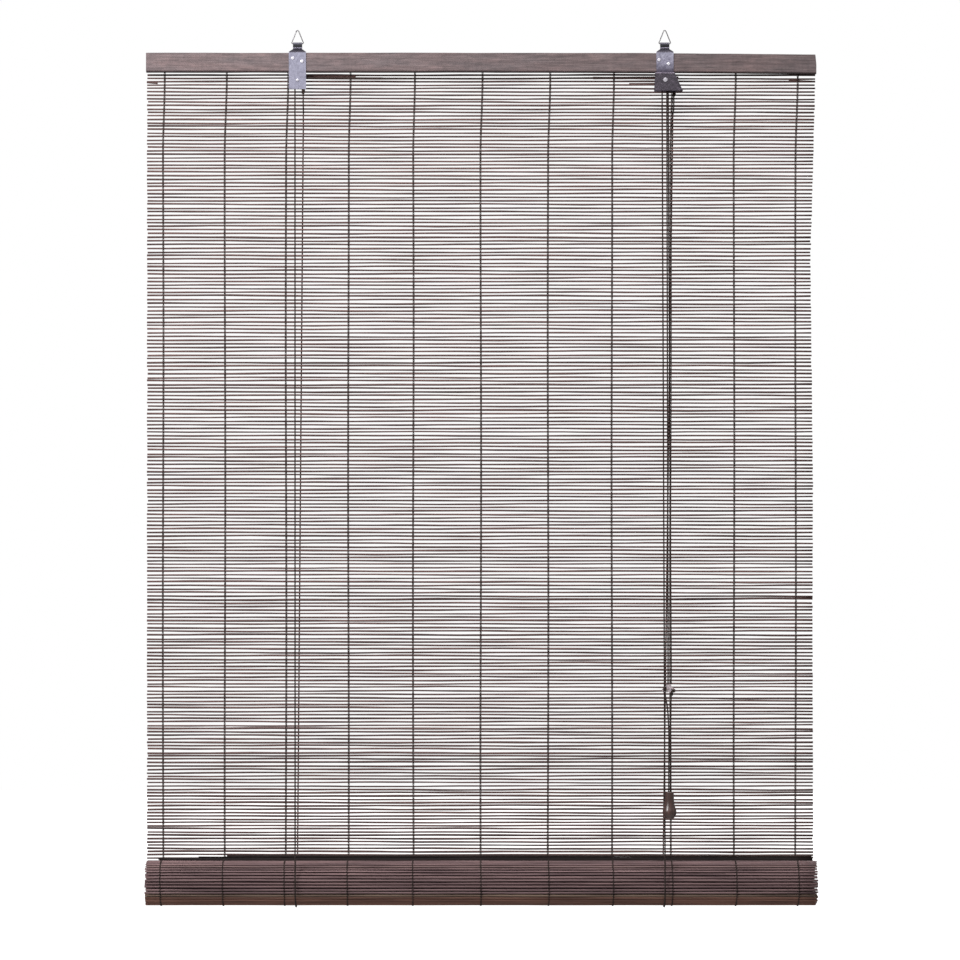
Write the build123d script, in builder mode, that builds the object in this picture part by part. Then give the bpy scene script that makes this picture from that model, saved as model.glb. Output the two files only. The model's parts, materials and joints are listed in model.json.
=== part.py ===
"""Bamboo roll up blind: a wooden head rail on two steel brackets with hanging rings, a mat of thin
slats woven on eleven warp threads, its lower end rolled up, lift cords, a cord lock and a wooden pull.

Millimetres. X runs along the rail, Y from the room towards the wall, Z up. The origin is on the
hanging line, midway between the two rings, where the hooks bear.
"""

from build123d import *
from math import asin, atan, ceil, cos, degrees, hypot, pi, radians, sin, tan
import os

# ---------------------------------------------------------------- driving dimensions
blind_width = 800.0        # length of the rail, of the slats and of the roll
flat_drop = 965.7          # from the underside of the rail to the axis of the roll
rail_height = 23.0
rail_depth = 11.0
rail_edge = 0.8            # easing of the rail's long edges

mat_head = 5.6             # the first slat below the rail's top
slat_diameter = 2.0
slat_pitch = 4.21
thread_diameter = 0.7
thread_margin = 19.7       # from a slat's end to the first thread
# how far each hand-laid warp thread stands off even spacing
thread_offsets = [1, -1.1, -4.1, -5.5, -4, 0.7, 5.1, 5.4, -0.5, -0.6, -3]

roll_radius = 27.0         # centre of the outer turn where it meets the flat mat
roll_half_turns = 10
roll_layer = 2.8           # growth of the roll in one full turn
sheet_thickness = 2.2      # slats with their threads
bar_height = 7.0           # bottom bar, rolled into the mat's end
bar_width = 16.0
tail_radius = 7.0          # the last bend of the mat, under the bar
tail_length = 12.5

bracket_x = 219.3          # each bracket's distance from the middle
plate_width = 20.5
sheet = 0.8                # thickness of the brackets' steel
tab_width = 11.0           # narrow neck that folds round the ring
neck_flare = 3.6           # height over which the plate narrows to the neck
neck_bend = 1.0            # bend radius of the sheet's middle
neck_run = 5.3             # straight neck below the ring's wire
tab_length = 5.6           # free end of the fold, in front of the neck
ring_rise = 15.0           # from the ring's base wire to the hanging line
neck_rise = 11.3           # from the rail's top to the ring's base wire
plate_rise = 1.1           # the plate's full width above the rail's top
plate_drop = 20.3          # the left plate's reach below the rail

wire_radius = 0.62
ring_half_base = 7.4
ring_apex = 3.3            # where the two sides would meet if the top weren't rounded
ring_corner = 1.2          # bends at the base and at the top
ring_top_bend = 1.5
ring_split = 0.15          # half the gap between the wire's ends
hinge_gap = 0.05           # running clearance of pins, bores and rings

cord_diameter = 1.8
cord_gap = 0.25            # between a cord and the groove it lies in
bend_slack = 0.02
pulley_cord_radius = 3.0
pulley_flange = 4.6
pulley_width = 4.4
pulley_rim = 0.4           # flat edge on each side of the groove
pulley_side_gap = 0.5      # between the pulley and the plate in front of it
pulley_drop = 9.7          # the left pulley's axle below the rail
pin_radius = 1.0
pin_head = 1.8
pin_tail = 0.7             # thickness of the riveted end
dome_height = 1.15
dome_round = 1.0
cheek_width = 16.0
cheek_side_gap = 0.2
cheek_lift = 1.5           # the cheek ends this much above the plate
screw_head_height = 1.0

guide_cord_radius = 3.7
guide_flange = 4.8
guide_width = 9.0
guide_groove_width = 3.6
guide_groove_spacing = 4.4
guide_drop = 10.7
guide_pin_radius = 1.25
guide_pin_head = 2.8

housing_gap = 1.7          # the lock housing's top below the rail
housing_height = 21.9
housing_depth = 13.2       # in front of the bracket's plate
housing_left = 11.8        # the top edge's reach to the left of the bracket's middle
housing_right = 10.7       # and to the right
housing_left_flare = 1.2   # how much further each side reaches at the bottom
housing_right_flare = 10.0
housing_round = 1.2        # bend along the top front edge

lock_radius = 4.0
lock_offset = 9.0          # the lock roller from the guide roller, sideways
lock_below = 2.0           # and downwards
lock_travel = 6.0
lock_flutes = 18
flute_radius = 0.35
lock_pin_head = 1.7
lock_pin_head_height = 0.75
lock_pin_end = 0.4         # beyond the roller's front face
slot_gap = 0.1             # the lock pin's play in its slot

loop_gap = 0.65            # between the roll and the cords slung under it
left_loop_x = -220.0
right_loop_x = 217.5
knot_radius = 2.3
knot_height = 6.0
left_knot_x = -212.3
right_knot_x = 229.9
knot_neck = 0.3            # how much thicker than the cord a knot's two ends are
knot_bite = 1.0            # how far the cord's end sits inside the knot
knot_run = 18.0            # plumb cord under the right knot
pass_fall = 4.0            # how far a cord falls on its way back through the mat
pass_play = 0.45           # between it and the slats above and below
bend_share = 0.45          # of the shorter run, taken up by each bend of a cord
knot_side_step = 0.5

pull_gap = 3.55            # the pull cords hang this far in front of the loops round the roll
acorn_step = 2.4           # and the acorn's axis in front of them
connector_drop = 709.2     # from the lock's mouth to the connector
connector_x = 221.4
connector_height = 9.2
connector_thickness = 5.0
connector_width = 15.6
connector_shoulder = 1.2   # the ears' upper edge, below the middle
connector_crown_width = 6.0
connector_crown = 2.6      # the crown's foot, above the middle
connector_round = 0.5
strand_spread = 3.8        # between the two cords where they enter the connector
strand_straight = 30.0     # their plumb run above it
tail_out_a = -5.6          # where the two tails leave the connector
tail_out_b = 3.2
tail_join = 14.0           # the tails have come together this far below it
connector_knot_radius = 2.2
acorn_gap = 117.3          # from the connector to the acorn
acorn_x = 222.3
acorn_height = 31.4
acorn_radius = 7.55        # at its widest
acorn_bottom_radius = 5.2
acorn_top_radius = 5.0
acorn_waist_radius = 5.3
acorn_waist_drop = 9.5
acorn_bulge_drop = 20.5
acorn_foot_radius = 6.7    # where the side turns in towards the flat bottom
acorn_foot_rise = 2.0
acorn_rim = 0.9            # round of the top edge
acorn_hole_gap = 0.35      # round the two cords in the acorn's hole
tail_play = 0.1            # between those two cords
knot_room_radius = 4.5
knot_room = 14.0           # depth of the room for the knot
acorn_knot_radius = 3.3
acorn_knot_gap = 0.1       # between the knot and the room's ceiling

# nails, as steps from the bracket's middle and the rail's top
left_nail_steps = [(-5.6, -6.6), (5.4, -10.3)]
right_nail_steps = [(-7.0, -8.6), (4.2, -13.4)]
nail_radius = 0.8
nail_head = 2.1
nail_head_height = 1.0
nail_head_round = 0.9
nail_length = 9.0
staple_wire = 0.6
staple_depth = 5.0         # bite into the rail

os.makedirs("parts", exist_ok=True)

# ---------------------------------------------------------------- places worked out from them
half_width = blind_width / 2
hinge_z = -ring_rise
rail_top = hinge_z - neck_rise
rail_bottom = rail_top - rail_height
rail_front = -rail_depth / 2
rail_back = rail_depth / 2
plate_front = rail_front - sheet
cord_radius = cord_diameter / 2
slat_radius = slat_diameter / 2

mat_y = rail_back + thread_diameter + slat_radius
front_thread_y = mat_y - slat_radius - thread_diameter / 2
back_thread_y = mat_y + slat_radius + thread_diameter / 2
roll_y = mat_y - roll_radius
roll_z = rail_bottom - flat_drop
first_slat_z = rail_top - mat_head

# the widest the roll gets as it turns, and the circle that the cord loops follow
roll_reach = roll_radius + sheet_thickness / 2
loop_radius = roll_reach + loop_gap + cord_radius
back_cord_y = roll_y + loop_radius

pulley_z = rail_bottom - pulley_drop
pulley_y = rail_front + pulley_side_gap + pulley_width / 2
cheek_y = pulley_y + pulley_width / 2 + cheek_side_gap + sheet / 2
guide_z = rail_bottom - guide_drop
guide_y = plate_front - housing_depth / 2
housing_top = rail_bottom - housing_gap
housing_bottom = housing_top - housing_height
housing_front = plate_front - housing_depth
front_groove_y = guide_y - guide_groove_spacing / 2
rear_groove_y = guide_y + guide_groove_spacing / 2
left_plate_bottom = rail_bottom - plate_drop
knot_y = (plate_front + rail_front) / 2

# The lift cords pass to the back of the mat through one gap, which they hold wider than the rest.
pass_depth = back_cord_y - knot_y
pass_turn = pi / 2 - atan(pass_fall / pass_depth)
pass_bend = bend_share * hypot(pass_depth, pass_fall) / tan(pass_turn / 2)
pass_slope = asin(1 - (back_cord_y - mat_y) / pass_bend)
pass_pitch = (slat_diameter + cord_diameter + 2 * pass_play) / cos(pass_slope)
pass_below = ceil((first_slat_z - (housing_bottom - knot_height - knot_run)) / slat_pitch)
pass_z = first_slat_z - (pass_below - 1) * slat_pitch - pass_pitch / 2
pass_corner_z = pass_z + bend_share * hypot(pass_depth, pass_fall) - pass_bend * cos(pass_slope)

slat_z = [first_slat_z - k * slat_pitch for k in range(pass_below)]
while slat_z[-1] - slat_pitch > roll_z + slat_radius:
    slat_z.append(slat_z[-1] - (pass_pitch if len(slat_z) == pass_below else slat_pitch))

connector_z = housing_bottom - connector_drop
connector_top = connector_z + connector_height / 2
connector_bottom = connector_z - connector_height / 2
acorn_top = connector_bottom - acorn_gap
pull_depth = loop_radius - roll_y + cord_diameter + pull_gap
acorn_depth = pull_depth + acorn_step
tail_gap = cord_diameter + tail_play
acorn_hole = tail_gap / 2 + cord_radius + acorn_hole_gap


def save(builder, name):
    """Label a finished piece and write it as a STEP file."""
    builder.part.label = name
    export_step(builder.part, f"parts/{name}.step")


def corner_radii(points):
    """The radius of each bend of a cord: its share of the shorter run, over the tangent of half the turn."""
    radii = []
    for before, corner, after in zip(points, points[1:], points[2:]):
        run_in = Vector(*corner) - Vector(*before)
        run_out = Vector(*after) - Vector(*corner)
        half_turn = radians(run_in.get_angle(run_out)) / 2
        radii.append(bend_share * min(run_in.length, run_out.length) / tan(half_turn))
    return radii


def cord(name, points, radii=None):
    """A cord as a plain tube along straight runs joined by tangent arcs."""
    with BuildPart() as tube:
        with BuildLine() as route:
            if len(points) == 2:
                Line(*points)
            else:
                radii = radii or corner_radii(points)
                FilletPolyline(*points, radius=radii)
        path = route.wire()
        with BuildSketch(Plane(origin=path @ 0, z_dir=path % 0)):
            Circle(cord_radius)
        sweep(path=path)
    length = path.length
    share = tube.part.volume / (pi * cord_radius**2 * length)
    bends = " ".join(f"{r:.1f}" for r in radii or [])
    print(f"{name}: length {length:.1f}, radii [{bends}], volume share {share:.4f}")
    save(tube, name)


# ---------------------------------------------------------------- head rail
left_nails = [(-bracket_x + x, rail_top + z) for x, z in left_nail_steps]
right_nails = [(bracket_x + x, rail_top + z) for x, z in right_nail_steps]

with BuildPart() as head_rail:
    with BuildSketch(Plane.YZ):
        with Locations((0, (rail_top + rail_bottom) / 2)):
            Rectangle(rail_depth, rail_height)
    extrude(amount=half_width, both=True)
    fillet(head_rail.edges().filter_by(Axis.X), radius=rail_edge)
    with BuildSketch(Plane.XZ.offset(-rail_front)):
        with Locations(*left_nails, *right_nails):
            Circle(nail_radius)
    extrude(amount=-(nail_length - sheet), mode=Mode.SUBTRACT)
save(head_rail, "head_rail")


# ---------------------------------------------------------------- brackets
def bracket_line(bottom):
    """Middle line of the bracket's sheet: up the rail's face, back over it and round the ring's wire."""
    middle = rail_front - sheet / 2
    loop = wire_radius + hinge_gap + sheet / 2
    FilletPolyline(
        (middle, bottom),
        (middle, rail_top + plate_rise),
        (loop, hinge_z - neck_run),
        (loop, hinge_z),
        radius=neck_bend,
    )
    CenterArc((0, hinge_z), loop, 0, 180)
    Line((-loop, hinge_z), (-loop, hinge_z - tab_length))


def neck_outline(x, points_below):
    """Front outline of a bracket: the narrow neck, its flare and the given lower points."""
    flare_top = rail_top + plate_rise + neck_flare
    neck = [
        (x + plate_width / 2, rail_top + plate_rise),
        (x + tab_width / 2, flare_top),
        (x + tab_width / 2, 0),
        (x - tab_width / 2, 0),
        (x - tab_width / 2, flare_top),
        (x - plate_width / 2, rail_top + plate_rise),
    ]
    return neck + points_below


with BuildPart() as left_bracket:
    with BuildSketch(Plane.YZ.offset(-bracket_x)):
        with BuildLine():
            bracket_line(left_plate_bottom)
        trace(line_width=sheet)
    extrude(amount=plate_width / 2, both=True)
    with BuildSketch(Plane.XZ.offset(rail_depth)):
        with BuildLine():
            Polyline(
                *neck_outline(
                    -bracket_x,
                    [
                        (-bracket_x - plate_width / 2, left_plate_bottom),
                        (-bracket_x + plate_width / 2, left_plate_bottom),
                    ],
                ),
                close=True,
            )
        make_face()
    extrude(amount=-2 * rail_depth, mode=Mode.INTERSECT)
    with BuildSketch(Plane.XZ.offset(-rail_front)):
        with Locations(*left_nails):
            Circle(nail_radius)
        with Locations((-bracket_x, pulley_z)):
            Circle(pin_radius)
    extrude(amount=sheet, mode=Mode.SUBTRACT)
save(left_bracket, "left_bracket")

# The right plate runs down behind the lock and flares to the right with it.
lower_left = bracket_x - housing_left
lower_right = bracket_x + housing_right
lock_x = bracket_x + lock_offset
lock_z = guide_z - lock_below
slot_angle = atan(housing_right_flare / housing_height)
lock_run = (sin(slot_angle) * lock_travel, -cos(slot_angle) * lock_travel)

with BuildPart() as right_bracket:
    with BuildSketch(Plane.YZ.offset(bracket_x)):
        with BuildLine():
            bracket_line(housing_bottom)
        trace(line_width=sheet)
    extrude(amount=max(housing_left + housing_left_flare, housing_right + housing_right_flare), both=True)
    with BuildSketch(Plane.XZ.offset(rail_depth)):
        with BuildLine():
            Polyline(
                *neck_outline(
                    bracket_x,
                    [
                        (bracket_x - plate_width / 2, housing_top),
                        (lower_left, housing_top),
                        (lower_left - housing_left_flare, housing_bottom),
                        (lower_right + housing_right_flare, housing_bottom),
                        (lower_right, housing_top),
                        (bracket_x + plate_width / 2, housing_top),
                    ],
                ),
                close=True,
            )
        make_face()
    extrude(amount=-2 * rail_depth, mode=Mode.INTERSECT)
    with BuildSketch(Plane.XZ.offset(-rail_front)):
        with Locations(*right_nails):
            Circle(nail_radius)
        with Locations((bracket_x, guide_z)):
            Circle(guide_pin_radius)
        with Locations((lock_x + lock_run[0] / 2, lock_z + lock_run[1] / 2)):
            SlotCenterToCenter(lock_travel, 2 * (pin_radius + slot_gap), rotation=degrees(slot_angle) - 90)
    extrude(amount=sheet, mode=Mode.SUBTRACT)
save(right_bracket, "right_bracket")

# ---------------------------------------------------------------- lock housing
# A cover with a top, a front and a slanted right wall, open below and to the left.
housing_outline = [
    (lower_left, housing_top),
    (lower_left - housing_left_flare, housing_bottom),
    (lower_right + housing_right_flare, housing_bottom),
    (lower_right, housing_top),
]
wall_slant = sheet / cos(slot_angle)
flare_slope = housing_right_flare / housing_height
housing_inside = [
    (lower_left - housing_depth, housing_top - sheet),
    (lower_left - housing_depth, housing_bottom - sheet),
    (lower_right + flare_slope * (housing_height + sheet) - wall_slant, housing_bottom - sheet),
    (lower_right + flare_slope * sheet - wall_slant, housing_top - sheet),
]

with BuildPart() as lock_housing:
    with BuildSketch(Plane.XZ.offset(-plate_front)):
        with BuildLine():
            Polyline(*housing_outline, close=True)
        make_face()
    extrude(amount=housing_depth)
    fillet(lock_housing.edges().group_by(Axis.Y)[0].sort_by(Axis.Z)[-1], radius=housing_round)
    with BuildSketch(Plane.XZ.offset(-plate_front)):
        with BuildLine():
            Polyline(*housing_inside, close=True)
        make_face()
    extrude(amount=housing_depth - sheet, mode=Mode.SUBTRACT)
    with BuildSketch(Plane.XZ.offset(-housing_front - sheet)):
        with Locations((bracket_x, guide_z)):
            Circle(guide_pin_radius)
    extrude(amount=sheet, mode=Mode.SUBTRACT)
save(lock_housing, "lock_housing")


# ---------------------------------------------------------------- hanging rings
def hanging_ring(name, x):
    """A triangle of steel wire whose ends meet inside the bracket's fold."""
    start = (x + ring_split, 0, hinge_z)
    with BuildPart() as ring:
        with BuildLine() as wire:
            FilletPolyline(
                start,
                (x + ring_half_base, 0, hinge_z),
                (x, 0, ring_apex),
                (x - ring_half_base, 0, hinge_z),
                (x - ring_split, 0, hinge_z),
                radius=[ring_corner, ring_top_bend, ring_corner],
            )
        with BuildSketch(Plane(origin=start, z_dir=(1, 0, 0))):
            Circle(wire_radius)
        sweep(path=wire.wire())
    save(ring, name)


hanging_ring("left_hanging_ring", -bracket_x)
hanging_ring("right_hanging_ring", bracket_x)


# ---------------------------------------------------------------- nails, pins and screws
def domed_nails(name, places):
    """Round-headed nails driven through a bracket into the rail."""
    with BuildPart() as nails:
        with BuildSketch(Plane.XZ.offset(-plate_front)):
            with Locations(*places):
                Circle(nail_head)
        extrude(amount=nail_head_height)
        fillet(nails.edges().group_by(Axis.Y)[0], radius=nail_head_round)
        with BuildSketch(Plane.XZ.offset(-plate_front)):
            with Locations(*places):
                Circle(nail_radius)
        extrude(amount=-nail_length)
    save(nails, name)


domed_nails("left_bracket_nails", left_nails)
domed_nails("right_bracket_nails", right_nails)


def axle_pin(name, x, z, radius, front, back, head):
    """A rivet along Y: a domed head in front, a shank, and a flat tail behind."""
    with BuildPart() as pin:
        with BuildSketch(Plane.XZ.offset(-front)):
            with Locations((x, z)):
                Circle(head)
        extrude(amount=dome_height)
        fillet(pin.edges().group_by(Axis.Y)[0], radius=dome_round)
        with BuildSketch(Plane.XZ.offset(-front)):
            with Locations((x, z)):
                Circle(radius)
        extrude(amount=front - back)
        with BuildSketch(Plane.XZ.offset(-back)):
            with Locations((x, z)):
                Circle((head + radius) / 2)
        extrude(amount=-pin_tail)
    save(pin, name)


cheek_back = cheek_y + sheet / 2
axle_pin("left_pulley_pin", -bracket_x, pulley_z, pin_radius, plate_front, cheek_back, pin_head)
axle_pin(
    "guide_roller_pin", bracket_x, guide_z, guide_pin_radius, housing_front, rail_front, guide_pin_head
)

# the plate behind the left pulley hangs from the underside of the rail on one screw
with BuildPart() as left_pulley_cheek:
    with BuildSketch(Plane.YZ.offset(-bracket_x)):
        with BuildLine():
            Polyline(
                (cheek_y - sheet / 2, left_plate_bottom + cheek_lift),
                (cheek_y - sheet / 2, rail_bottom),
                (rail_back, rail_bottom),
                (rail_back, rail_bottom - sheet),
                (cheek_back, rail_bottom - sheet),
                (cheek_back, left_plate_bottom + cheek_lift),
                close=True,
            )
        make_face()
    extrude(amount=cheek_width / 2, both=True)
    with BuildSketch(Plane.XZ.offset(-cheek_y)):
        with Locations((-bracket_x, pulley_z)):
            Circle(pin_radius)
    extrude(amount=sheet, both=True, mode=Mode.SUBTRACT)
    with BuildSketch(Plane.XY.offset(rail_bottom)):
        with Locations((-bracket_x, (cheek_back + rail_back) / 2)):
            Circle(nail_radius)
    extrude(amount=-sheet, mode=Mode.SUBTRACT)
save(left_pulley_cheek, "left_pulley_cheek")

with BuildPart() as cheek_screw:
    with BuildSketch(Plane.XY.offset(rail_bottom - sheet)):
        with Locations((-bracket_x, (cheek_back + rail_back) / 2)):
            Circle(nail_radius)
    extrude(amount=nail_length)
    with BuildSketch(Plane.XY.offset(rail_bottom - sheet)):
        with Locations((-bracket_x, (cheek_back + rail_back) / 2)):
            Circle(nail_head)
    extrude(amount=-screw_head_height)
save(cheek_screw, "cheek_screw")


# ---------------------------------------------------------------- pulley and rollers
def groove(centre, cord_at, rim, width):
    """Half section of a cord groove, along Y, as the points from one rim to the other."""
    root = cord_at - cord_radius - cord_gap
    return [
        (rim, centre - width / 2),
        (root, centre - width / 4),
        (root, centre + width / 4),
        (rim, centre + width / 2),
    ]


def grooved_wheel(name, x, z, bore, rim, low_y, high_y, grooves):
    """A turned wheel on an axle along Y."""
    with BuildPart() as wheel:
        with BuildSketch(Plane(origin=(x, 0, z), x_dir=(1, 0, 0), z_dir=(0, 0, 1))):
            with BuildLine():
                Polyline((bore, low_y), (rim, low_y), *grooves, (rim, high_y), (bore, high_y), close=True)
            make_face()
        revolve(axis=Axis((x, 0, z), (0, 1, 0)))
    save(wheel, name)


grooved_wheel(
    "left_pulley",
    -bracket_x,
    pulley_z,
    pin_radius + hinge_gap,
    pulley_flange,
    pulley_y - pulley_width / 2,
    pulley_y + pulley_width / 2,
    groove(pulley_y, pulley_cord_radius, pulley_flange, pulley_width - 2 * pulley_rim),
)
grooved_wheel(
    "guide_roller",
    bracket_x,
    guide_z,
    guide_pin_radius + hinge_gap,
    guide_flange,
    guide_y - guide_width / 2,
    guide_y + guide_width / 2,
    groove(front_groove_y, guide_cord_radius, guide_flange, guide_groove_width)
    + groove(rear_groove_y, guide_cord_radius, guide_flange, guide_groove_width),
)

lock_roller_front = guide_y - guide_width / 2

with BuildPart() as lock_roller:
    with BuildSketch(Plane.XZ.offset(-lock_roller_front)):
        with Locations((lock_x, lock_z)):
            Circle(lock_radius)
            Circle(pin_radius + hinge_gap, mode=Mode.SUBTRACT)
            with PolarLocations(lock_radius, lock_flutes):
                Circle(flute_radius, mode=Mode.SUBTRACT)
    extrude(amount=-guide_width)
save(lock_roller, "lock_roller")

with BuildPart() as lock_pin:
    with BuildSketch(Plane.XZ.offset(-rail_front - hinge_gap)):
        with Locations((lock_x, lock_z)):
            Circle(lock_pin_head)
    extrude(amount=-lock_pin_head_height)
    with BuildSketch(Plane.XZ.offset(-rail_front - hinge_gap)):
        with Locations((lock_x, lock_z)):
            Circle(pin_radius)
    extrude(amount=rail_front + hinge_gap - lock_roller_front + lock_pin_end)
save(lock_pin, "lock_pin")

# ---------------------------------------------------------------- mat
with BuildPart() as mat_slats:
    with BuildSketch(Plane.YZ.offset(-half_width)):
        with Locations(*[(mat_y, z) for z in slat_z]):
            Circle(slat_radius)
    extrude(amount=blind_width)
save(mat_slats, "mat_slats")

# Each warp is a pair of threads, one in front of the slats and one behind.
thread_count = len(thread_offsets)
thread_spacing = (blind_width - 2 * thread_margin) / (thread_count - 1)
thread_x = [
    -half_width + thread_margin + k * thread_spacing + shift for k, shift in enumerate(thread_offsets)
]
for number, x in enumerate(thread_x, start=1):
    with BuildPart() as warp_thread:
        with BuildSketch(Plane.XY.offset(roll_z)):
            with Locations((x, front_thread_y), (x, back_thread_y)):
                Circle(thread_diameter / 2)
        extrude(amount=first_slat_z + slat_radius - roll_z)
    save(warp_thread, f"warp_thread_{number:02d}")

# Each staple bridges two slats from behind, halfway between two warps.
staple_top = first_slat_z - 0.5 * slat_pitch
staple_x = [(a + b) / 2 for a, b in zip(thread_x, thread_x[1:])]
with BuildPart() as mat_staples:
    for x in staple_x:
        for leg in range(2):
            with BuildSketch(Plane.XZ.offset(-back_thread_y - staple_wire)):
                with Locations((x, staple_top - leg * 2 * slat_pitch)):
                    Circle(staple_wire / 2)
            extrude(amount=back_thread_y + staple_wire - rail_back + staple_depth)
        with BuildSketch(Plane.XY.offset(staple_top - 2 * slat_pitch - staple_wire / 2)):
            with Locations((x, back_thread_y + staple_wire / 2)):
                Circle(staple_wire / 2)
        extrude(amount=2 * slat_pitch + staple_wire)
save(mat_staples, "mat_staples")

# ---------------------------------------------------------------- roll
# The mat's end winds inwards as half turns about two centres, then bends flat under the bar.
half_step = roll_layer / 2
first_turn = roll_radius - half_step / 2
half_turns = [
    (half_step / 2 * (-1) ** k, first_turn - half_step * k) for k in range(roll_half_turns)
]
end_y = roll_radius - half_step * roll_half_turns
flat_z = -tail_radius
tail_y = end_y - tail_radius


def roll_arcs(shift):
    """The arcs of one face of the rolled mat, shift outside its middle, from the outer end inwards."""
    for k, (centre, radius) in enumerate(half_turns):
        CenterArc((centre, 0), radius + shift, -180 * (k % 2), -180)
    CenterArc((tail_y, 0), tail_radius + shift, 0, -90)


with BuildPart() as rolled_mat:
    with BuildSketch(Plane(origin=(-half_width, roll_y, roll_z), x_dir=(0, 1, 0), z_dir=(1, 0, 0))):
        with BuildLine():
            half_sheet = sheet_thickness / 2
            roll_arcs(half_sheet)
            roll_arcs(-half_sheet)
            Line((roll_radius - half_sheet, 0), (roll_radius + half_sheet, 0))
            Polyline(
                (tail_y, flat_z - half_sheet),
                (tail_y - tail_length, flat_z - half_sheet),
                (tail_y - tail_length, flat_z + half_sheet),
                (tail_y, flat_z + half_sheet),
            )
        make_face()
    extrude(amount=blind_width)
save(rolled_mat, "rolled_mat")

with BuildPart() as bottom_bar:
    with BuildSketch(Plane(origin=(-half_width, roll_y, roll_z), x_dir=(0, 1, 0), z_dir=(1, 0, 0))):
        bar_middle = tail_y + bar_height / 2 - bar_width / 2
        with Locations((bar_middle, flat_z + half_sheet + bar_height / 2)):
            SlotOverall(bar_width, bar_height)
    extrude(amount=blind_width)
save(bottom_bar, "bottom_bar")


# ---------------------------------------------------------------- lift cords
def tangent_lean(start_y, start_z):
    """How far from upright a taut cord leans from a guide down to the front of its loop, in radians."""
    side = start_y - roll_y
    rise = start_z - roll_z
    return asin(loop_radius / (side**2 + rise**2) ** 0.5) + atan(side / rise)


def lift_cord(side, start, loop_x, knot_x):
    """One lift cord: a front run, the loop slung under the roll, and a back run up to its knot."""
    lean = tangent_lean(start[1], start[2])
    front_end = (loop_x, roll_y - loop_radius * cos(lean), roll_z + loop_radius * sin(lean))
    cord(f"{side}_lift_cord_front", [start, front_end])
    with BuildPart() as loop:
        with BuildLine(Plane(origin=(loop_x, roll_y, roll_z), x_dir=(0, 1, 0), z_dir=(1, 0, 0))) as route:
            CenterArc((0, 0), loop_radius, 0, -180 - degrees(lean))
        with BuildSketch(Plane(origin=(loop_x, back_cord_y, roll_z), z_dir=(0, 0, -1))):
            Circle(cord_radius)
        sweep(path=route.wire())
    save(loop, f"{side}_lift_cord_loop")
    knot_top = left_plate_bottom if side == "left" else housing_bottom
    knot_bottom = knot_top - knot_height
    cord(
        f"{side}_lift_cord_back",
        [
            (knot_x, knot_y, knot_bottom + knot_bite),
            (knot_x, knot_y, pass_corner_z + pass_fall),
            (knot_x - knot_side_step, back_cord_y, pass_corner_z),
            (loop_x, back_cord_y, roll_z),
        ],
    )
    with BuildPart() as knot:
        with BuildSketch(Plane(origin=(knot_x, knot_y, 0), x_dir=(1, 0, 0), z_dir=(0, -1, 0))):
            with BuildLine():
                Line((0, knot_bottom), (cord_radius + knot_neck, knot_bottom))
                ThreePointArc(
                    (cord_radius + knot_neck, knot_bottom),
                    (knot_radius, knot_bottom + knot_height / 2),
                    (cord_radius + knot_neck, knot_top),
                )
                Line((cord_radius + knot_neck, knot_top), (0, knot_top))
                Line((0, knot_top), (0, knot_bottom))
            make_face()
        revolve(axis=Axis((knot_x, knot_y, 0), (0, 0, 1)))
        with BuildSketch(Plane(origin=(knot_x, knot_y, knot_bottom))):
            Circle(cord_radius)
        extrude(amount=knot_bite, mode=Mode.SUBTRACT)
    save(knot, f"{side}_cord_knot")


left_start = (-bracket_x - pulley_cord_radius, pulley_y, pulley_z)
right_start = (bracket_x - guide_cord_radius, rear_groove_y, guide_z)
lift_cord("left", left_start, left_loop_x, left_knot_x)
lift_cord("right", right_start, right_loop_x, right_knot_x)

# ---------------------------------------------------------------- cords over the pulley and roller
exit_x = bracket_x + guide_cord_radius
cord(
    "transfer_cord",
    [
        left_start,
        (left_start[0], pulley_y, pulley_z + pulley_cord_radius),
        (exit_x, front_groove_y, guide_z + guide_cord_radius),
        (exit_x, front_groove_y, housing_bottom),
    ],
    radii=[pulley_cord_radius - bend_slack, guide_cord_radius - bend_slack],
)
turn_plane = Plane(origin=(bracket_x, rear_groove_y, guide_z), x_dir=(1, 0, 0), z_dir=(0, -1, 0))
with BuildPart() as right_cord_turn:
    with BuildLine(turn_plane) as turn:
        over = CenterArc((0, 0), guide_cord_radius, 180, -180)
        Line(over @ 1, (guide_cord_radius, housing_bottom - guide_z))
    with BuildSketch(Plane(origin=right_start)):
        Circle(cord_radius)
    sweep(path=turn.wire())
save(right_cord_turn, "right_cord_turn")

# ---------------------------------------------------------------- pull
strand_low = connector_top + strand_straight
strands = {
    "a": (front_groove_y, connector_x - strand_spread / 2),
    "b": (rear_groove_y, connector_x + strand_spread / 2),
}
for letter, (y, x) in strands.items():
    cord(
        f"pull_cord_{letter}",
        [(exit_x, y, housing_bottom), (x, -pull_depth, strand_low), (x, -pull_depth, connector_top)],
    )

with BuildPart() as pull_connector:
    with BuildSketch(
        Plane(origin=(connector_x, -pull_depth, connector_z), x_dir=(1, 0, 0), z_dir=(0, -1, 0))
    ) as connector_outline:
        with BuildLine():
            Polyline(
                (-connector_width / 2, -connector_height / 2),
                (connector_width / 2, -connector_height / 2),
                (connector_width / 2, -connector_shoulder),
                (connector_crown_width / 2, connector_crown),
                (connector_crown_width / 2, connector_height / 2),
                (-connector_crown_width / 2, connector_height / 2),
                (-connector_crown_width / 2, connector_crown),
                (-connector_width / 2, -connector_shoulder),
                close=True,
            )
        make_face()
        fillet(connector_outline.vertices(), radius=connector_round)
    extrude(amount=connector_thickness / 2, both=True)
save(pull_connector, "pull_connector")

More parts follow.
